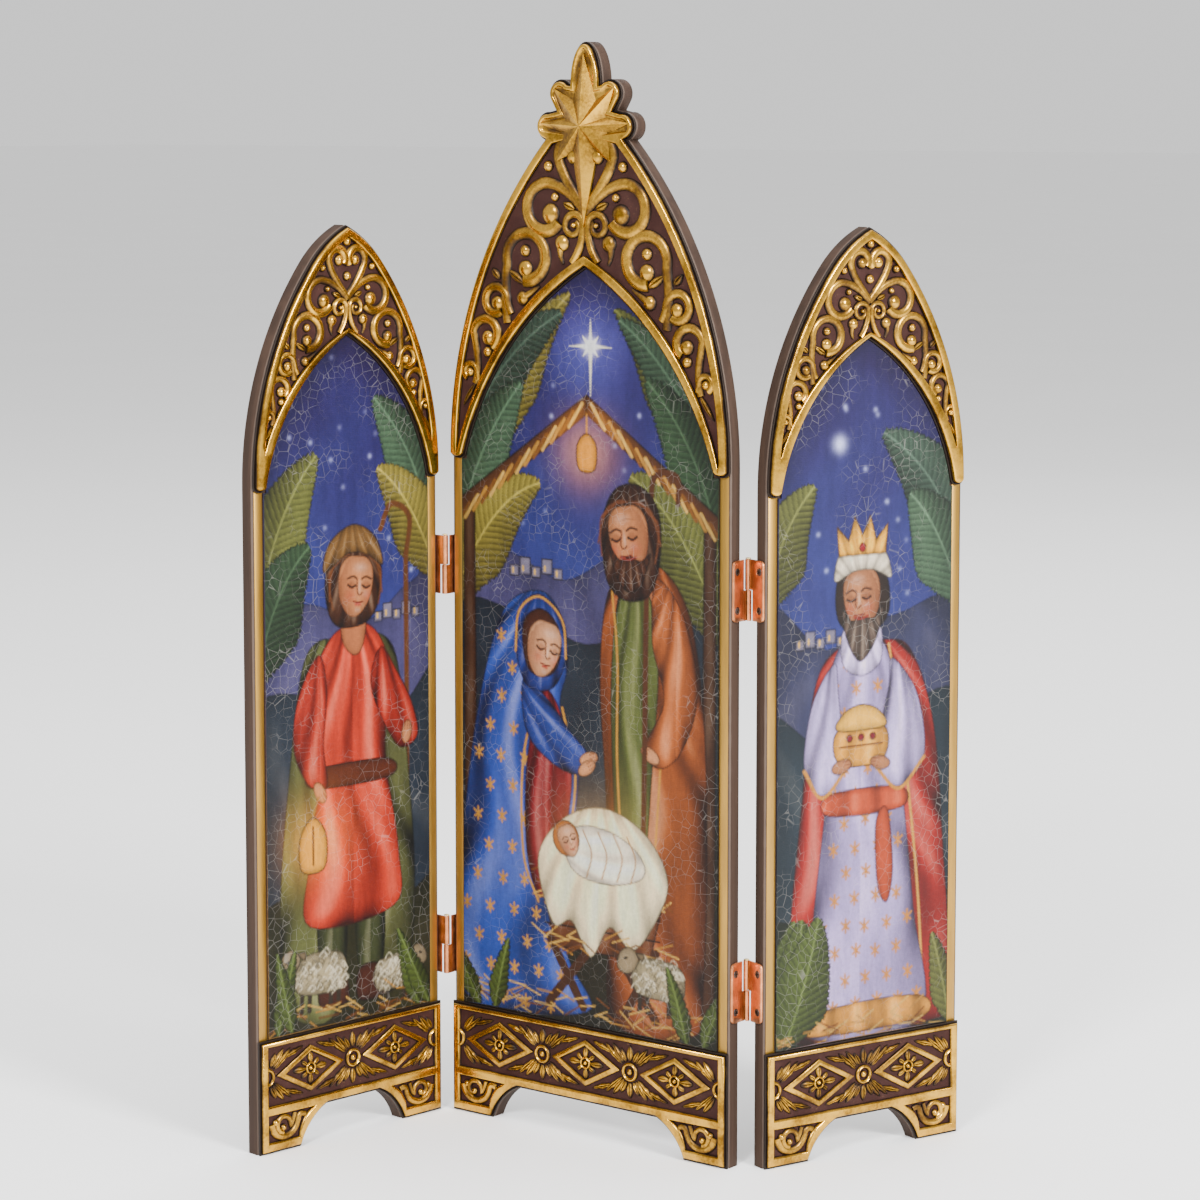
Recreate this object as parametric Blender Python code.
"""Folding nativity screen: three lancet-arched boards with gilded castings, on four butt hinges.

Run it with blender --background --python part.py, or from Blender's text editor. Lengths are in metres,
+Z is up and the centre panel faces -Y. Each panel is drawn in its own plane: x to the right of its
middle, z up from the floor, and y = 0 on the board's front, with the board behind it and the castings
before it. The left wing folds forward and the right wing folds back.
"""

import math

import bmesh
import bpy
import numpy as np
from mathutils import Vector
from mathutils.geometry import delaunay_2d_cdt

MM = 0.001
GAP = 0.3 * MM  # left between two pieces that touch

# The boards
BOARD_THICKNESS = 6.5 * MM
BOARD_CHAMFER = 0.9 * MM
GILT_STRIP = 4.4 * MM  # the bare strip between the chamfer and the picture
PICTURE_THICKNESS = 0.4 * MM

CENTRE_WIDTH = 145.5 * MM
CENTRE_SPRING = 286.5 * MM  # height where the straight sides start to curve
CENTRE_ARCH_RADIUS = 195.0 * MM
WING_WIDTH = 100.5 * MM
WING_SPRING = 278.5 * MM
WING_ARCH_RADIUS = 146.0 * MM
WING_CROWN_RADIUS = 52.0 * MM  # the rounder stretch beside the wing's point
WING_CROWN_START = math.radians(38)

# The bracket feet
FOOT_WIDTH = 22.0 * MM
CUTOUT_HEIGHT = 15.5 * MM
CUTOUT_CORNER = 14.0 * MM  # how far the curved corner reaches past the foot
CUTOUT_BULGE = 2.2 * MM

# The castings' profile, as heights in front of the board
GROUND = 1.0 * MM
FLANGE_TOP = 1.2 * MM
FLANGE_WIDTH = 0.8 * MM
BASE_TOP = 2.6 * MM
CREST_TOP = 3.1 * MM
CARVING_TOP = 2.9 * MM
FRIEZE_CARVING_TOP = 2.5 * MM
WALL_RUN = 0.2 * MM  # the draft of a casting's steep walls

# The arch crests
RIM_WIDTH = 4.4 * MM
BAND_RISE = 2.9 * MM  # the inner arch's band at a wing's point
CENTRE_OPENING_RISE = 79.7 * MM  # the picture opening's point above the spring
CENTRE_OPENING_RADIUS = 137.6 * MM
CENTRE_TAIL_WIDTH = 8.24 * MM  # between the opening and the board's edge at the spring
CENTRE_BAND_TRIM = (6.5 * MM, 8.2 * MM)  # how far the band's arc is smaller, and its centre nearer
WING_OPENING_RISE = 59.7 * MM
WING_OPENING_RADIUS = 87.8 * MM
WING_TAIL_WIDTH = 6.82 * MM
WING_BAND_TRIM = (3.7 * MM, 8.4 * MM)
TAIL_DROP = 2.6 * MM  # how far the tails' round tips reach below the spring

# The crest's scrolls on a wing, right half, in millimetres from the inner arch's point: the stem's foot,
# the point it bends to, the spiral's centre, its first and last radius, its first angle and its turn in
# degrees, the scroll's first and last half width, and the radius of the ball it ends in
SCROLLS = (
    ((0.0, 13.0), (7.9, 21.5), (5.1, 28.6), (4.7, 4.0), -20, 231, (1.1, 1.4), 2.3),
    ((0.0, 12.0), (4.6, 18.3), (14.3, 13.0), (7.6, 5.9), 111, -254, (1.0, 1.4), 3.0),
    ((4.6, -2.0), (0.2, 3.5), (4.3, 8.3), (3.8, 1.6), 153, -380, (0.9, 0.6), 0.9),
    ((28.6, -20.0), (29.9, -12.0), (21.3, -1.1), (7.6, 6.4), -14, 292, (1.0, 1.4), 2.5),
    ((27.0, -17.5), (28.4, -15.5), (32.7, -13.7), (4.2, 3.6), 170, -295, (0.9, 1.0), 2.2),
    ((40.6, -38.0), (38.6, -32.5), (36.4, -23.6), (4.8, 4.0), 8, 228, (0.8, 1.1), 2.2),
    ((39.6, -37.0), (39.4, -36.0), (42.3, -34.6), (2.5, 2.0), 190, -250, (0.6, 0.8), 1.4),
)
# A drop: its thin end, the point it bends to, its head and the head's radius
DROPS = (
    ((8.1, -2.5), (9.9, 0.8), (8.4, 3.5), 2.6),
    ((16.6, -9.0), (19.3, -10.8), (22.8, -12.7), 2.3),
)
# A leaf: its foot, its tip and its half width
LEAVES = (
    ((3.6, 13.0), (8.3, 15.0), 1.4),
    ((22.1, -8.5), (28.4, -4.6), 1.4),
    ((31.1, -7.5), (34.4, -4.2), 1.3),
    ((40.1, -37.5), (45.4, -45.0), 0.9),
)
PEARLS = (
    ((0.0, 35.8), 2.1),
    ((0.0, 21.5), 2.1),
    ((13.3, 25.2), 1.7),
    ((10.9, 16.5), 1.4),
    ((21.8, 1.0), 1.9),
    ((35.8, -28.7), 1.7),
)

# The finial, measured from the star's middle
STAR_DROP = 14.3 * MM  # the star's middle below the point where the centre arch would close
TONGUE_WIDTH = 15.6 * MM
TONGUE_BASE = 17.4 * MM
TONGUE_HEIGHT = 17.0 * MM
UPPER_LOBE = (12.7 * MM, 13.4 * MM)
UPPER_LOBE_RADIUS = 5.8 * MM
LOBE_NOTCH = (15.4 * MM, 6.6 * MM)
LOWER_LOBE = (19.3 * MM, 0.0)
LOWER_LOBE_RADIUS = 5.9 * MM
PLAQUE_EDGE = 7.0 * MM  # the scrolls' ground ends this far below the star's middle at the rim
# The star's tips and hollows down its right side: angle in degrees and distance in millimetres
STAR_POINTS = (
    (90, 29.6), (61, 12.3), (45, 22.2), (18, 11.6), (3, 23.5),
    (-12, 12.6), (-46, 19.6), (-60, 12.6), (-90, 41.0),
)
STAR_TOP = 5.2 * MM

# The base friezes
FRIEZE_TOP = 48.0 * MM
FRIEZE_FIELD = (20.0 * MM, 45.0 * MM)
FRIEZE_SIDE = 4.2 * MM
FRIEZE_BAY = 46.5 * MM  # from one lozenge to the next
LOZENGE_HALF = (18.4 * MM, 10.0 * MM)
LOZENGE_INNER = 0.73
FLOWER_HALF = (9.4 * MM, 7.2 * MM)
FLOWER_NOTCH = 0.55
FLOWER_RING = 2.8 * MM
ROSETTE_RADIUS = 4.1 * MM
ROSETTE_DOT = 1.5 * MM
FOOT_PANEL = (4.6 * MM, 16.0 * MM)
FOOT_PANEL_WIDTHS = (16.4 * MM, 24.6 * MM)  # at its bottom and top

# A rosette's spray, upper right quarter, in millimetres from the rosette's middle: each leaf's middle,
# where it is highest, and its outline
SPRAY = (
    ((4.0, 7.4), ((1.9, 4.2), (4.6, 5.6), (5.6, 9.4), (2.9, 8.4))),
    ((7.0, 8.2), ((3.1, 3.6), (7.0, 6.2), (9.6, 11.0), (6.0, 10.0))),
    ((11.6, 8.4), ((4.1, 2.7), (11.0, 6.2), (19.8, 10.2), (13.6, 11.3), (9.8, 9.6))),
)
SPRAY_TOP_LEAF = ((0.0, 8.8), ((0.0, 4.4), (1.9, 8.8), (0.0, 11.4), (-1.9, 8.8)))
# A right foot's two scrolls, as above, in millimetres from its outer lower corner
FOOT_SCROLLS = (
    ((-24.0, 13.4), (-20.4, 15.0), (-12.8, 13.2), (7.5, 6.9), 192, 160, (0.9, 1.2), 1.6),
    ((-18.4, 15.2), (-17.6, 12.0), (-12.3, 11.0), (3.9, 3.0), 196, -280, (0.7, 0.9), 1.5),
)

# The hinges
HINGE_HEIGHT = 25.0 * MM
HINGE_LEVELS = {"lower": 72.8 * MM, "upper": 238.0 * MM}
HINGE_STANDOFF = 3.5 * MM  # from a board's face to the pin's axis
LEAF_THICKNESS = 0.8 * MM
LEAF_CLEARANCE = 0.45 * MM  # from a leaf to the plane through the pin
LEAF_MARGIN = 0.6 * MM  # board left bare beside the leaf
LEAF_CORNER = 2.0 * MM
LEAF_RELIEF = 2.2 * MM  # the plate's edge, measured from the axis
KNUCKLE_RADIUS = 1.35 * MM
BORE_RADIUS = 0.85 * MM
KNUCKLE_SEAM = math.radians(-20)
PIN_RADIUS = 0.55 * MM
PIN_HEAD_RADIUS = 1.2 * MM
PIN_HEAD_HEIGHT = 0.5 * MM
SCREW_SPACING = 15.8 * MM
SCREW_HEAD_RADIUS = 1.55 * MM
SCREW_RADIUS = 0.75 * MM
SCREW_LENGTH = 7.0 * MM
SCREW_PROUD = 0.15 * MM
LEAF_HOLE_RADIUS = SCREW_HEAD_RADIUS + 0.35 * MM
BOARD_HOLE_RADIUS = 1.2 * MM

# How the screen stands: each wing's turn from flat, the left one forward and the right one back
LEFT_FOLD = math.radians(82)
RIGHT_FOLD = math.radians(71)

# How finely curves are cut
ARCH_STEPS = 6
CROWN_STEPS = 3
CORNER_STEPS = 3
LOBE_STEPS = 4
STEM_STEPS = 2
SPIRAL_STEP = 72  # degrees
KNUCKLE_STEP = math.radians(58)
BALL_SIDES = 5
ROSETTE_SIDES = 8
SCREW_SIDES = 6
MERGE = 0.02 * MM

EDGE_TO_AXIS = LEAF_CLEARANCE + LEAF_THICKNESS + GAP
LEAF_REACH = HINGE_STANDOFF + BOARD_THICKNESS - LEAF_MARGIN
SCREW_REACH = HINGE_STANDOFF + BOARD_THICKNESS / 2

# Colour, roughness and metallic value
FINISHES = {
    "stained_wood": ((0.085, 0.062, 0.048), 0.62, 0.0),
    "gilding": ((0.50, 0.32, 0.09), 0.42, 1.0),
    "printed_sheet": ((0.20, 0.18, 0.30), 0.60, 0.0),
    "copper": ((0.62, 0.20, 0.08), 0.33, 1.0),
    "brass": ((0.72, 0.52, 0.22), 0.35, 1.0),
    "gunmetal": ((0.09, 0.085, 0.085), 0.40, 1.0),
}


class Panel:
    """The sizes that tell one panel from another, and its outlines' right halves from bottom to top."""

    def __init__(self, width, spring, radius, crown, opening, band):
        self.half = width / 2
        self.spring = spring
        self.radius = radius
        self.crown = crown
        rise, self.opening_radius, tail = opening
        self.opening_top = spring + rise
        foot, point = (self.half - tail, spring), (0.0, self.opening_top)
        self.opening_centre = circles_meet(foot, self.opening_radius, point, self.opening_radius)[0]
        self.band_radius = self.opening_radius - band[0]
        self.band_reach = -self.opening_centre[0] - band[1]
        self.scale = width / WING_WIDTH
        self.centre = (self.half - radius, spring)
        self.star_z = spring + math.sqrt(radius**2 - self.centre[0] ** 2) - STAR_DROP
        self.band_top = self.opening_top + BAND_RISE * self.scale**1.5

    def finial(self):
        lobe = (LOWER_LOBE[0], self.star_z + LOWER_LOBE[1])
        join = circles_meet(self.centre, self.radius, lobe, LOWER_LOBE_RADIUS)[0]
        start = math.atan2(join[1] - lobe[1], join[0] - lobe[0])
        side = arc(lobe, LOWER_LOBE_RADIUS, start, math.radians(96), LOBE_STEPS)
        side.append((LOBE_NOTCH[0], self.star_z + LOBE_NOTCH[1]))
        upper = (UPPER_LOBE[0], self.star_z + UPPER_LOBE[1])
        side += arc(upper, UPPER_LOBE_RADIUS, math.radians(-32), math.radians(135), LOBE_STEPS)
        for angle in np.linspace(0, math.pi / 2, LOBE_STEPS + 1):
            tip = self.star_z + TONGUE_BASE + TONGUE_HEIGHT * math.sin(angle)
            side.append((TONGUE_WIDTH / 2 * math.cos(angle), tip))
        return side

    def arch(self, inset=0.0):
        """The arch from its spring to the middle line, or to the finial, with an inset for the rim."""
        radius = self.radius - inset
        if not self.crown:
            end = self.finial()[0] if not inset else (0.0, self.star_z - PLAQUE_EDGE)
            return arc(self.centre, radius, 0, math.asin((end[1] - self.spring) / radius), ARCH_STEPS)
        crown_radius, start = self.crown
        shift = self.radius - crown_radius
        crown = (self.centre[0] + shift * math.cos(start), self.centre[1] + shift * math.sin(start))
        crown_radius -= inset
        main = arc(self.centre, radius, 0, start, ARCH_STEPS)
        return main[:-1] + arc(crown, crown_radius, start, math.acos(-crown[0] / crown_radius), CROWN_STEPS)

    def top(self):
        return self.arch() if self.crown else self.arch()[:-1] + self.finial()

    def foot(self):
        """The cut-out's corner and the foot, from the cut-out's top round to the outer corner."""
        inner = (self.half - FOOT_WIDTH, 0.0)
        corner = (inner[0] - CUTOUT_CORNER, CUTOUT_HEIGHT)
        return bulged(corner, inner, CUTOUT_BULGE, CORNER_STEPS) + [(self.half, 0.0)]

    def opening(self, start_z, inset=0.0):
        """The picture opening's edge from a height up to its point."""
        radius = self.opening_radius - inset
        start = math.asin((start_z - self.opening_centre[1]) / radius)
        end = math.acos(-self.opening_centre[0] / radius)
        return arc(self.opening_centre, radius, start, end, ARCH_STEPS)

    def crest(self):
        """The crest's outline: up the arch, round its top, and back along the picture opening."""
        inner = self.opening(self.spring)
        half_tail = (self.half - inner[0][0]) / 2
        tip = [
            (inner[0][0] + half_tail * (1 - math.cos(a)), self.spring - TAIL_DROP * math.sin(a))
            for a in np.linspace(0, math.pi, 2 * CORNER_STEPS)
        ]
        return mirrored(inner[::-1] + tip[1:-1] + self.top())

    def field(self):
        """The crest's sunk ground, between the rim and the band of the inner arch."""
        low = self.band_top - math.sqrt(self.band_radius**2 - self.band_reach**2)
        band_centre = (-self.band_reach, low)
        foot = circles_meet(self.centre, self.radius - RIM_WIDTH, band_centre, self.band_radius)[1]
        start = math.asin((foot[1] - low) / self.band_radius)
        end = math.acos(self.band_reach / self.band_radius)
        band = arc(band_centre, self.band_radius, start, end, ARCH_STEPS)
        rim = [p for p in self.arch(RIM_WIDTH) if p[1] > foot[1] + 2 * MM]
        if not self.crown:
            rim.append((0.0, self.star_z - PLAQUE_EDGE / 2))
        return mirrored(band[::-1] + rim)

    def picture(self):
        """The printed sheet: between the gilt strips below, and just inside the crest's opening."""
        side = self.half - BOARD_CHAMFER - GILT_STRIP - GAP
        low = self.spring - TAIL_DROP - GAP
        top = self.opening(self.spring - GAP, GAP)
        return mirrored([(side, FRIEZE_TOP + GAP), (side, low), (top[0][0], low)] + top)


# Plane geometry

def arc(centre, radius, start, end, steps):
    """Points along a circle from one angle to another, both ends included."""
    angles = np.linspace(start, end, steps + 1)
    return [(centre[0] + radius * math.cos(a), centre[1] + radius * math.sin(a)) for a in angles]


def bulged(start, end, bulge, steps):
    """The shallow arc between two points that stands off their chord, to its left, by the bulge."""
    start, end = Vector(start), Vector(end)
    chord = end - start
    radius = (chord.length**2 / 4 + bulge**2) / (2 * bulge)
    left = Vector((-chord.y, chord.x)).normalized()
    centre = (start + end) / 2 + left * (bulge - radius)
    first = math.atan2(start.y - centre.y, start.x - centre.x)
    last = math.atan2(end.y - centre.y, end.x - centre.x)
    turn = (last - first + math.pi) % math.tau - math.pi
    return arc(centre, radius, first, first + turn, steps)


def circles_meet(centre_a, radius_a, centre_b, radius_b):
    """The two points on both circles, the lower one first."""
    a, b = Vector(centre_a), Vector(centre_b)
    apart = (b - a).length
    along = (apart**2 + radius_a**2 - radius_b**2) / (2 * apart)
    aside = math.sqrt(radius_a**2 - along**2)
    unit = (b - a) / apart
    side = Vector((-unit.y, unit.x)) * aside
    middle = a + unit * along
    return sorted((tuple(middle + side), tuple(middle - side)), key=lambda p: p[1])


def mirrored(right):
    """A closed outline from its right half, listed from the lower middle line round to the upper."""
    return right + [(-x, z) for x, z in reversed(right) if abs(x) > MERGE]


def bend(foot, control, end, steps):
    """Points of the curve that leaves the foot towards a control point and comes in to the end."""
    foot, control, end = Vector(foot), Vector(control), Vector(end)
    return [
        tuple(foot * (1 - t) ** 2 + control * (2 * t * (1 - t)) + end * t**2)
        for t in np.linspace(0, 1, steps + 1)
    ]


def offset(outline, distance):
    """A counter-clockwise outline moved inwards, its corners kept sharp."""
    points = np.array(outline)
    before = points - np.roll(points, 1, axis=0)
    after = np.roll(points, -1, axis=0) - points
    before /= np.linalg.norm(before, axis=1)[:, None]
    after /= np.linalg.norm(after, axis=1)[:, None]
    inward = np.stack([-before[:, 1] - after[:, 1], before[:, 0] + after[:, 0]], axis=1)
    share = 1 + (before * after).sum(axis=1)
    return [tuple(p) for p in points + inward * (distance / share)[:, None]]


def inside_distance(points, outline):
    """How far each point is from an outline, positive within it."""
    start = np.array(outline)
    end = np.roll(start, -1, axis=0)
    run = end - start
    rel = points[:, None, :] - start[None]
    along = np.clip((rel * run).sum(2) / (run * run).sum(1), 0, 1)
    near = np.linalg.norm(rel - along[..., None] * run, axis=2).min(axis=1)
    crosses = (start[None, :, 1] > points[:, None, 1]) != (end[None, :, 1] > points[:, None, 1])
    rise = np.where(run[:, 1] == 0, 1.0, run[:, 1])
    reach = start[:, 0] + rel[..., 1] * run[:, 0] / rise
    inside = (crosses & (points[:, 0, None] < reach)).sum(axis=1) % 2 == 1
    return np.where(inside, near, -near)


def mirror_x(points):
    return [(-x, z) for x, z in points]


# Castings

class Relief:
    """A casting's face, as lines to keep and the height in front of the board at any point."""

    def __init__(self, outline, top, fields, slope=WALL_RUN):
        self.outline = outline
        self.top = top
        self.fields = fields
        self.slope = slope
        self.lines = []
        self.carvings = []
        self.hidden = []
        for inset in (0.0, FLANGE_WIDTH, FLANGE_WIDTH + WALL_RUN):
            self.line(offset(outline, inset), closed=True)
        for field in fields:
            self.line(field, closed=True)
            self.line(offset(field, slope), closed=True)

    def line(self, points, closed=False):
        """Keeps a line's segments, apart from those that lie wholly under something else."""
        if closed:
            points = points + points[:1]
        places = np.array(points)
        covered = np.zeros(len(places), bool)
        for outline in self.hidden:
            covered |= inside_distance(places, outline) > 0
        for index in range(len(points) - 1):
            if not (covered[index] and covered[index + 1]):
                self.lines.append((points[index], points[index + 1]))

    def facets(self, hub, ring, top, foot=GROUND):
        """A faceted boss: its ring lies at the foot's height and its hub at the top's."""
        self.line(ring, closed=True)
        for point in ring:
            self.line([hub, point])
        centre, corners = np.array(hub), np.array(ring)

        def height(points):
            best = np.full(len(points), -np.inf)
            for a, b in zip(corners - centre, np.roll(corners, -1, axis=0) - centre):
                area = a[0] * b[1] - a[1] * b[0]
                rel = points - centre
                u = (rel[:, 0] * b[1] - rel[:, 1] * b[0]) / area
                v = (a[0] * rel[:, 1] - a[1] * rel[:, 0]) / area
                within = (u > -1e-4) & (v > -1e-4) & (u + v < 1 + 1e-4)
                best = np.where(within, np.maximum(best, top + (foot - top) * (u + v)), best)
            return best

        self.carvings.append(height)

    def ball(self, centre, radius, top, sides=BALL_SIDES):
        ring = arc(centre, radius, 0, math.tau, sides)[:-1]
        self.facets(centre, ring, top)
        self.hidden.append(ring)

    def ribbon(self, path, halves, top):
        """A ridge along a path, with its half width at each point."""
        path, halves = np.array(path), np.array(halves)
        run = np.gradient(path, axis=0)
        run /= np.linalg.norm(run, axis=1)[:, None]
        aside = np.stack([-run[:, 1], run[:, 0]], axis=1) * halves[:, None]
        for line in (path, path + aside, path - aside):
            self.line([tuple(p) for p in line])
        self.line([tuple(path[-1] + aside[-1]), tuple(path[-1]), tuple(path[-1] - aside[-1])])
        self.line([tuple(path[0] + aside[0]), tuple(path[0]), tuple(path[0] - aside[0])])

        def height(points):
            best = np.full(len(points), -np.inf)
            for a, b, half_a, half_b in zip(path, path[1:], halves, halves[1:]):
                along = np.clip((points - a) @ (b - a) / ((b - a) @ (b - a)), 0, 1)
                away = np.linalg.norm(points - a - along[:, None] * (b - a), axis=1)
                share = 1 - away / (half_a + (half_b - half_a) * along)
                best = np.maximum(best, np.where(share > 0, GROUND + (top - GROUND) * share, -np.inf))
            return best

        self.carvings.append(height)

    def scroll(self, row, place, top):
        """A stem, its spiral and the ball at its end, from a table's row and the way to place a point."""
        foot, control, centre, radii, start, turn, halves, ball = row
        steps = round(abs(turn) / SPIRAL_STEP)
        spiral = []
        for share in np.linspace(0, 1, steps + 1):
            angle = math.radians(start + turn * share)
            radius = radii[0] + (radii[1] - radii[0]) * share
            spiral.append((centre[0] + radius * math.cos(angle), centre[1] + radius * math.sin(angle)))
        path = bend(foot, control, spiral[0], STEM_STEPS)[:-1] + spiral
        angle = math.radians(start + turn)
        radius = radii[1] - ball - halves[1] / 2
        middle = (centre[0] + radius * math.cos(angle), centre[1] + radius * math.sin(angle))
        unit = place.unit
        self.ball(place(middle), ball * unit, top)
        self.ribbon([place(p) for p in path], np.linspace(halves[0], halves[1], len(path)) * unit, top)

    def heights(self, points):
        height = np.full(len(points), self.top)
        for field in self.fields:
            sunk = np.clip(inside_distance(points, field) / self.slope, 0, 1)
            height = np.minimum(height, self.top + (GROUND - self.top) * sunk)
        for carving in self.carvings:
            height = np.maximum(height, carving(points))
        rim = inside_distance(points, self.outline)
        return np.where(rim < FLANGE_WIDTH + WALL_RUN / 2, FLANGE_TOP, height)

    def mesh(self):
        """The closed body: the face, steep sides down to the back, and a flat back."""
        ends = [Vector(p) for line in self.lines for p in line]
        edges = [(i, i + 1) for i in range(0, len(ends), 2)]
        found = delaunay_2d_cdt(ends, edges, [], 1, MERGE, False)
        points = np.array([tuple(p) for p in found[0]])
        height = self.heights(points)
        bm = bmesh.new()
        verts = [bm.verts.new((x, -h, z)) for (x, z), h in zip(points, height)]
        middles = np.array([points[list(face)].mean(axis=0) for face in found[2]])
        for face, depth in zip(found[2], inside_distance(middles, self.outline)):
            if depth > 0:
                bm.faces.new([verts[i] for i in face])
        rim = [edge for edge in bm.edges if edge.is_boundary]
        walls = bmesh.ops.extrude_edge_only(bm, edges=rim)["geom"]
        for vert in walls:
            if isinstance(vert, bmesh.types.BMVert):
                vert.co.y = -GAP
        back = [edge for edge in bm.edges if edge.is_boundary]
        bmesh.ops.contextual_create(bm, geom=back)
        bmesh.ops.delete(bm, geom=[v for v in bm.verts if not v.link_faces], context="VERTS")
        return bm


class Place:
    """Turns a table's point into metres on a panel, on its right or, mirrored, on its left."""

    def __init__(self, origin, unit, side):
        self.origin, self.unit, self.side = origin, unit, side

    def __call__(self, point):
        return (self.side * (self.origin[0] + point[0] * self.unit), self.origin[1] + point[1] * self.unit)


def star_ring(panel):
    right = []
    for degrees, distance in STAR_POINTS:
        angle = math.radians(degrees)
        right.append((distance * MM * math.cos(angle), panel.star_z + distance * MM * math.sin(angle)))
    return mirrored(right[::-1])


def crest_mesh(panel):
    relief = Relief(panel.crest(), CREST_TOP, [panel.field()])
    if not panel.crown:
        ring = star_ring(panel)
        relief.facets((0.0, panel.star_z), ring, STAR_TOP, CREST_TOP)
        relief.line(offset(ring, -WALL_RUN), closed=True)
        relief.hidden.append(ring)
    unit = MM * panel.scale
    for side in (1, -1):
        place = Place((0.0, panel.band_top), unit, side)
        for row in SCROLLS:
            relief.scroll(row, place, CARVING_TOP)
        for thin, control, head, radius in DROPS:
            relief.ball(place(head), radius * unit, CARVING_TOP)
            path = [place(p) for p in bend(thin, control, head, STEM_STEPS)]
            relief.ribbon(path, np.linspace(0.25, 0.6, len(path)) * radius * unit, CARVING_TOP)
        for foot, tip, half in LEAVES:
            run = Vector(tip) - Vector(foot)
            middle = Vector(foot) + run * 0.45
            aside = Vector((-run.y, run.x)).normalized() * half
            ring = [place(p) for p in (foot, middle + aside, tip, middle - aside)]
            relief.facets(place(middle), ring, CARVING_TOP)
        for centre, radius in PEARLS:
            if side == 1 or centre[0]:
                relief.ball(place(centre), radius * unit, CARVING_TOP)
    return relief.mesh()


def foot_panel(panel):
    """The right foot's sunk panel, whose inner side follows the cut-out's curve."""
    low, high = FOOT_PANEL
    outer = panel.half - FRIEZE_SIDE
    top, bottom = (outer - FOOT_PANEL_WIDTHS[1], high), (outer - FOOT_PANEL_WIDTHS[0], low)
    return bulged(top, bottom, CUTOUT_BULGE, CORNER_STEPS) + [(outer, low), (outer, high)]


def add_lozenge(relief, x, z):
    half_x, half_z = LOZENGE_HALF
    ridge = (1 + LOZENGE_INNER) / 2
    for share in (1, ridge, LOZENGE_INNER):
        wide, high = half_x * share, half_z * share
        relief.line([(x + wide, z), (x, z + high), (x - wide, z), (x, z - high)], closed=True)

    def height(points):
        share = np.abs(points[:, 0] - x) / half_x + np.abs(points[:, 1] - z) / half_z
        up = 1 - np.abs(share - ridge) / (1 - ridge)
        return np.where(up > 0, GROUND + (FRIEZE_CARVING_TOP - GROUND) * up, -np.inf)

    relief.carvings.append(height)
    ring = []
    for index in range(16):
        angle = math.tau * index / 16
        reach = 1 if index % 2 == 0 else FLOWER_NOTCH
        wide, high = FLOWER_HALF[0] * reach, FLOWER_HALF[1] * reach
        ring.append((x + wide * math.cos(angle), z + high * math.sin(angle)))
    relief.facets((x, z), ring, FRIEZE_CARVING_TOP)


def add_rosette(relief, x, z, inner):
    """A ringed boss with leafy sprays. One that the side border cuts keeps only its inward half."""
    whole = abs(x) < inner
    turn = math.tau if whole else math.pi
    start = 0 if whole else math.copysign(math.pi / 2, x)
    steps = round(ROSETTE_SIDES * turn / math.tau)
    for share in (1.0, 0.8, 0.6):
        relief.line(arc((x, z), ROSETTE_RADIUS * share, start, start + turn, steps))

    def ring_height(points):
        share = np.hypot(points[:, 0] - x, points[:, 1] - z) / ROSETTE_RADIUS
        up = 1 - np.abs(share - 0.8) / 0.2
        return np.where(up > 0, GROUND + (FRIEZE_CARVING_TOP - GROUND) * up, -np.inf)

    relief.carvings.append(ring_height)
    if whole:
        relief.ball((x, z), ROSETTE_DOT, FRIEZE_CARVING_TOP)
    for side in (1, -1):
        place = Place((side * x, z), MM, side)
        for up in (1, -1):
            leaves = SPRAY + ((SPRAY_TOP_LEAF,) if side == 1 else ())
            for hub, ring in leaves:
                ring = [place((p[0], up * p[1])) for p in ring]
                if all(abs(p[0]) < inner for p in ring):
                    relief.facets(place((hub[0], up * hub[1])), ring, FRIEZE_CARVING_TOP)


def base_mesh(panel):
    inner = panel.half - FRIEZE_SIDE
    low, high = FRIEZE_FIELD
    right = foot_panel(panel)
    fields = [[(-inner, low), (inner, low), (inner, high), (-inner, high)], right, mirror_x(right)[::-1]]
    outline = mirrored(panel.foot() + [(panel.half, FRIEZE_TOP)])
    relief = Relief(outline, BASE_TOP, fields, WALL_RUN)
    z = (low + high) / 2
    bays = int(2 * panel.half / FRIEZE_BAY)
    for index in range(bays):
        add_lozenge(relief, (index - (bays - 1) / 2) * FRIEZE_BAY, z)
    for index in range(bays + 1):
        add_rosette(relief, (index - bays / 2) * FRIEZE_BAY, z, inner)
    for side in (1, -1):
        place = Place((panel.half, 0.0), MM, side)
        for row in FOOT_SCROLLS:
            relief.scroll(row, place, FRIEZE_CARVING_TOP)
    return relief.mesh()


# Boards and pictures

def slab(outline, front, back, chamfer=0.0):
    """An outline drawn through from front to back, with its front edge bevelled."""
    bm = bmesh.new()
    sections = [(outline, back), (outline, front + chamfer)]
    if chamfer:
        sections.append((offset(outline, chamfer), front))
    loops = [[bm.verts.new((x, y, z)) for x, z in points] for points, y in sections]
    bm.faces.new(loops[0])
    bm.faces.new(loops[-1])
    for low, high in zip(loops, loops[1:]):
        for index in range(len(low)):
            bm.faces.new((low[index - 1], low[index], high[index], high[index - 1]))
    return bm


def board_mesh(panel):
    return slab(mirrored(panel.foot() + panel.top()), 0.0, BOARD_THICKNESS, BOARD_CHAMFER)


def picture_mesh(panel):
    return slab(panel.picture(), -GAP - PICTURE_THICKNESS, -GAP)


# Hinges: s runs from the pin along a leaf, t from the leaves' middle plane towards a leaf's own board

def screw_places():
    return [(SCREW_REACH, side * SCREW_SPACING / 2) for side in (1, -1)]


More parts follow.
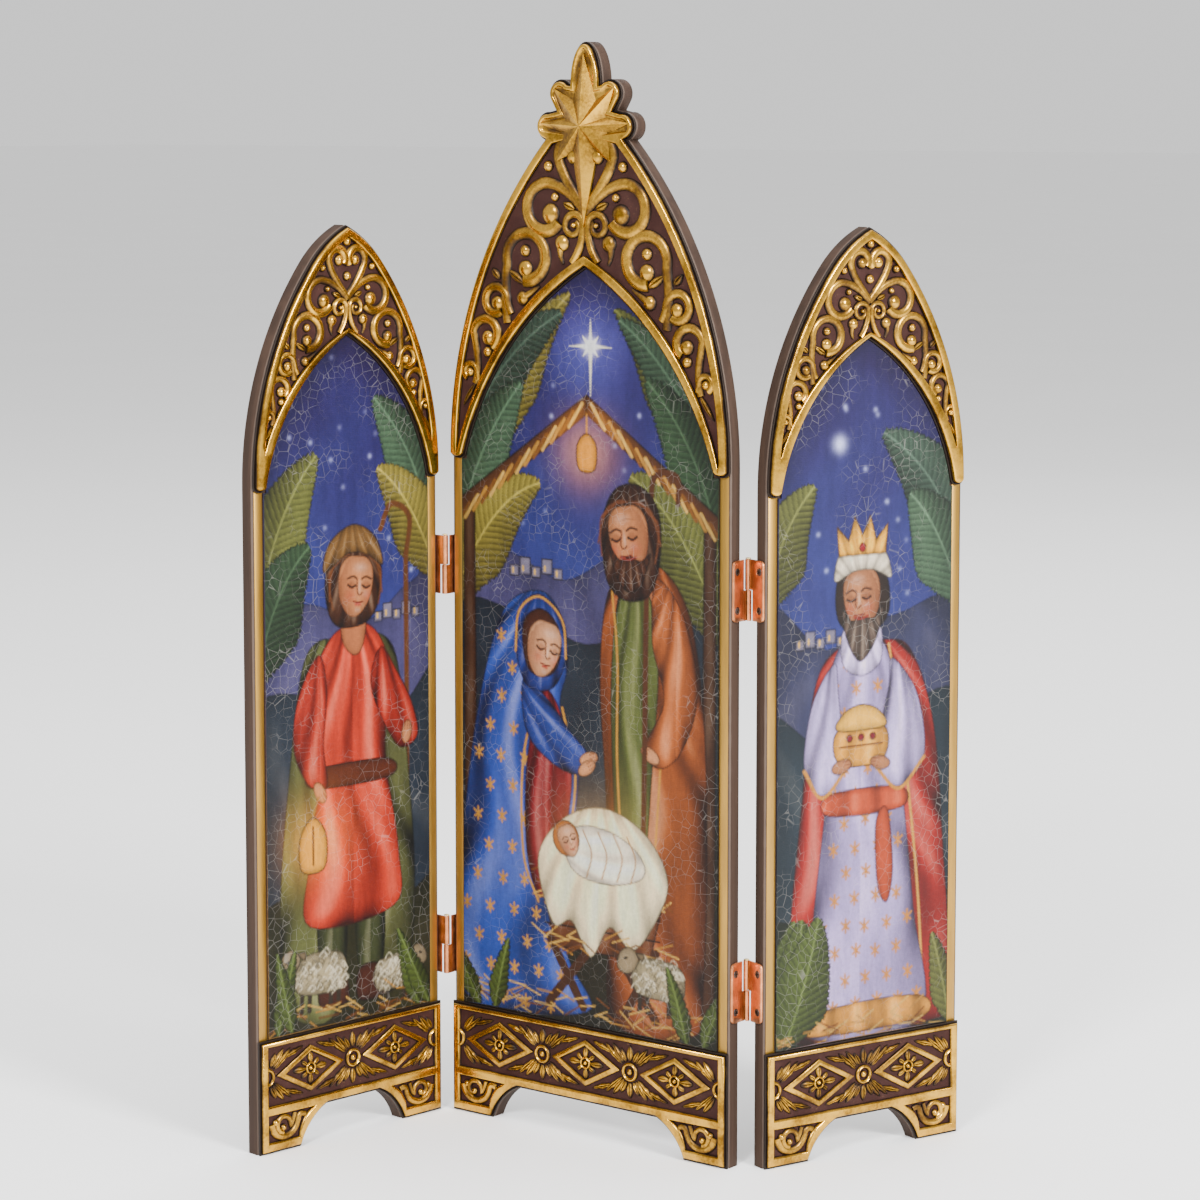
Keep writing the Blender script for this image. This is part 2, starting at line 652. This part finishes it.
def leaf_mesh(upper):
    """A leaf with a rolled knuckle on its upper or lower half."""
    near, far = LEAF_CLEARANCE, LEAF_CLEARANCE + LEAF_THICKNESS
    top = HINGE_HEIGHT / 2
    corner = (LEAF_REACH - LEAF_CORNER, top - LEAF_CORNER)
    low_corner = (corner[0], -corner[1])
    outline = [(LEAF_RELIEF, -top)]
    outline += arc(low_corner, LEAF_CORNER, -math.pi / 2, 0, CORNER_STEPS - 1)
    outline += arc(corner, LEAF_CORNER, 0, math.pi / 2, CORNER_STEPS - 1)
    outline += [(LEAF_RELIEF, top), (LEAF_RELIEF, GAP / 2 if upper else -GAP / 2)]
    bm = bmesh.new()
    sheets = []
    for depth, hole_radius in ((near, LEAF_HOLE_RADIUS), (far, LEAF_HOLE_RADIUS - LEAF_THICKNESS)):
        rings = [outline] + [arc(c, hole_radius, 0, math.tau, SCREW_SIDES)[:-1] for c in screw_places()]
        verts = [[bm.verts.new((s, depth, z)) for s, z in ring] for ring in rings]
        flat = [vert for ring in verts for vert in ring]
        faces = [[flat.index(v) for v in ring] for ring in verts]
        edges = [(f[i - 1], f[i]) for f in faces for i in range(len(f))]
        found = delaunay_2d_cdt([Vector((v.co.x, v.co.z)) for v in flat], edges, [], 1, MERGE / 10, True)
        for face in found[2]:
            corners = [flat[found[3][i][0]] for i in face]
            middle = sum((v.co for v in corners), Vector()) / 3
            if all(math.dist((middle.x, middle.z), c) > hole_radius * 0.8 for c in screw_places()):
                bm.faces.new(corners)
        sheets.append(verts)
    for number, (low, high) in enumerate(zip(*sheets)):
        for index in range(len(low)):
            knuckle_side = number == 0 and index == (len(low) - 1 if upper else 0)
            if not knuckle_side:
                bm.faces.new((low[index - 1], low[index], high[index], high[index - 1]))
    ends = (-1, -2) if upper else (0, -1)
    roll = [
        (KNUCKLE_RADIUS * math.cos(a), KNUCKLE_RADIUS * math.sin(a))
        for a in turns(math.asin(far / KNUCKLE_RADIUS), math.tau + KNUCKLE_SEAM)
    ]
    roll += [
        (BORE_RADIUS * math.cos(a), BORE_RADIUS * math.sin(a))
        for a in turns(math.tau + KNUCKLE_SEAM, math.asin(near / BORE_RADIUS))
    ]
    loops = []
    for end in ends:
        rim = [sheets[1][0][end]]
        rim += [bm.verts.new((s, t, rim[0].co.z)) for s, t in roll]
        rim.append(sheets[0][0][end])
        bm.faces.new(rim)
        loops.append(rim)
    for index in range(len(roll) + 1):
        bm.faces.new((loops[0][index], loops[0][index + 1], loops[1][index + 1], loops[1][index]))
    return bm


def turns(start, end):
    return np.linspace(start, end, math.ceil(abs(end - start) / KNUCKLE_STEP) + 1)


def turned(profile, sides, axis):
    """A closed round body from (radius, height) pairs, listed from its foot to its top along y or z."""
    bm = bmesh.new()
    rings = []
    for radius, height in profile:
        ring = []
        for angle in np.linspace(0, math.tau, sides, endpoint=False):
            u, v = radius * math.cos(angle), radius * math.sin(angle)
            ring.append(bm.verts.new((u, height, v) if axis == "y" else (u, v, height)))
        rings.append(ring)
    bm.faces.new(rings[0])
    bm.faces.new(rings[-1])
    for low, high in zip(rings, rings[1:]):
        for index in range(sides):
            bm.faces.new((low[index - 1], low[index], high[index], high[index - 1]))
    return bm


def pin_mesh():
    half = HINGE_HEIGHT / 2
    profile = [
        (PIN_RADIUS, -half), (PIN_RADIUS, half + GAP), (PIN_HEAD_RADIUS, half + GAP),
        (PIN_HEAD_RADIUS, half + GAP + PIN_HEAD_HEIGHT),
    ]
    return turned(profile, BALL_SIDES + 2, "z")


def screw_mesh():
    head = LEAF_CLEARANCE - SCREW_PROUD
    profile = [
        (SCREW_HEAD_RADIUS, head), (SCREW_RADIUS, head + SCREW_HEAD_RADIUS - SCREW_RADIUS),
        (SCREW_RADIUS, head + SCREW_LENGTH),
    ]
    return turned(profile, SCREW_SIDES, "y")


# Assembly

def make_material(name):
    colour, roughness, metallic = FINISHES[name]
    material = bpy.data.materials.new(name)
    material.use_nodes = True
    shader = material.node_tree.nodes["Principled BSDF"]
    shader.inputs["Base Color"].default_value = (*colour, 1.0)
    shader.inputs["Roughness"].default_value = roughness
    shader.inputs["Metallic"].default_value = metallic
    material.diffuse_color = (*colour, 1.0)
    return material


def add_object(name, bm, material, parent, shift=(0.0, 0.0, 0.0)):
    """A finished solid whose mesh is moved by the shift, under the empty of its panel."""
    bmesh.ops.translate(bm, vec=shift, verts=bm.verts)
    bmesh.ops.recalc_face_normals(bm, faces=bm.faces)
    mesh = bpy.data.meshes.new(name)
    bm.to_mesh(mesh)
    bm.free()
    mesh.materials.append(bpy.data.materials[material])
    obj = bpy.data.objects.new(name, mesh)
    bpy.context.collection.objects.link(obj)
    obj.parent = parent
    return obj


def add_empty(name, parent=None, location=(0.0, 0.0, 0.0), turn=0.0):
    empty = bpy.data.objects.new(name, None)
    bpy.context.collection.objects.link(empty)
    empty.parent = parent
    empty.location = location
    empty.rotation_euler.z = turn
    return empty


class Side:
    """One panel's half of a hinged joint: where the pin is in the panel's plane, and which way it faces."""

    def __init__(self, panel, edge, behind):
        self.axis = (
            edge * (panel.half + EDGE_TO_AXIS),
            BOARD_THICKNESS + HINGE_STANDOFF if behind else -HINGE_STANDOFF,
        )
        self.towards_board = -edge
        self.along = -1 if behind else 1

    def turned_mesh(self, bm, level, sideways=0.0):
        """Moves a hinge part from its (s, t, z) frame to the panel's, sideways by a distance along s."""
        for vert in bm.verts:
            s, t, z = vert.co
            vert.co = (
                self.axis[0] + self.towards_board * t,
                self.axis[1] + self.along * (s + sideways),
                z + level,
            )
        return bm


def add_panel(name, panel, body, shift, sides):
    """A panel's board, picture and castings, with the leaves and screws on its hinged edges."""
    board = add_object(f"{name}_board", board_mesh(panel), "stained_wood", body, shift)
    add_object(f"{name}_picture", picture_mesh(panel), "printed_sheet", body, shift)
    add_object(f"{name}_crest", crest_mesh(panel), "gilding", body, shift)
    add_object(f"{name}_base", base_mesh(panel), "gilding", body, shift)
    holes = bmesh.new()
    for joint, side, upper in sides:
        for level_name, level in HINGE_LEVELS.items():
            hinge = f"{joint}_{level_name}_hinge"
            leaf = side.turned_mesh(leaf_mesh(upper), level)
            add_object(f"{hinge}_{name}_leaf", leaf, "copper", body, shift)
            for screw, (reach, height) in zip(("top", "bottom"), screw_places()):
                placed = side.turned_mesh(screw_mesh(), level + height, reach)
                add_object(f"{hinge}_{name}_{screw}_screw", placed, "gunmetal", body, shift)
                add_hole(holes, side, level + height, reach)
    cutter = add_object(f"{name}_screw_holes", holes, "gunmetal", body, shift)
    cutter.hide_render = True
    cutter.display_type = "WIRE"
    cut = board.modifiers.new("screw_holes", "BOOLEAN")
    cut.object = cutter
    cut.operation = "DIFFERENCE"


def add_hole(holes, side, level, reach):
    start = EDGE_TO_AXIS - GAP
    end = LEAF_CLEARANCE - SCREW_PROUD + SCREW_LENGTH + GAP
    hole = turned([(BOARD_HOLE_RADIUS, start), (BOARD_HOLE_RADIUS, end)], SCREW_SIDES, "y")
    side.turned_mesh(hole, level, reach)
    mesh = bpy.data.meshes.new("hole")
    hole.to_mesh(mesh)
    hole.free()
    holes.from_mesh(mesh)
    bpy.data.meshes.remove(mesh)


def add_wing(name, panel, root, centre_side, wing_side, turn):
    """An empty on the joint's axis, with the wing's pieces drawn from that axis."""
    body = add_empty(f"{name}_wing", root, (*centre_side.axis, 0.0), turn)
    add_panel(name, panel, body, (-wing_side.axis[0], -wing_side.axis[1], 0.0), [(name, wing_side, True)])


def main():
    for obj in list(bpy.data.objects):
        bpy.data.objects.remove(obj, do_unlink=True)
    for name in FINISHES:
        make_material(name)
    centre = Panel(
        CENTRE_WIDTH, CENTRE_SPRING, CENTRE_ARCH_RADIUS, None,
        (CENTRE_OPENING_RISE, CENTRE_OPENING_RADIUS, CENTRE_TAIL_WIDTH), CENTRE_BAND_TRIM,
    )
    wing = Panel(
        WING_WIDTH, WING_SPRING, WING_ARCH_RADIUS, (WING_CROWN_RADIUS, WING_CROWN_START),
        (WING_OPENING_RISE, WING_OPENING_RADIUS, WING_TAIL_WIDTH), WING_BAND_TRIM,
    )
    root = add_empty("screen")
    left_joint, right_joint = Side(centre, -1, False), Side(centre, 1, True)
    sides = [("left", left_joint, False), ("right", right_joint, False)]
    add_panel("centre", centre, root, (0.0, 0.0, 0.0), sides)
    add_wing("left", wing, root, left_joint, Side(wing, 1, False), LEFT_FOLD)
    add_wing("right", wing, root, right_joint, Side(wing, -1, True), RIGHT_FOLD)
    for joint, side in (("left", left_joint), ("right", right_joint)):
        for level_name, level in HINGE_LEVELS.items():
            add_object(f"{joint}_{level_name}_hinge_pin", pin_mesh(), "brass", root, (*side.axis, level))
    centre_on_origin(root)


def centre_on_origin(root):
    """Moves the screen so that the middle of its floor area is at the origin."""
    bpy.context.view_layer.update()
    corners = np.array([
        tuple(obj.matrix_world @ vert.co)
        for obj in bpy.data.objects if obj.type == "MESH" and not obj.hide_render
        for vert in obj.data.vertices
    ])
    middle = (corners.min(axis=0) + corners.max(axis=0)) / 2
    root.location = (-middle[0], -middle[1], 0.0)


main()
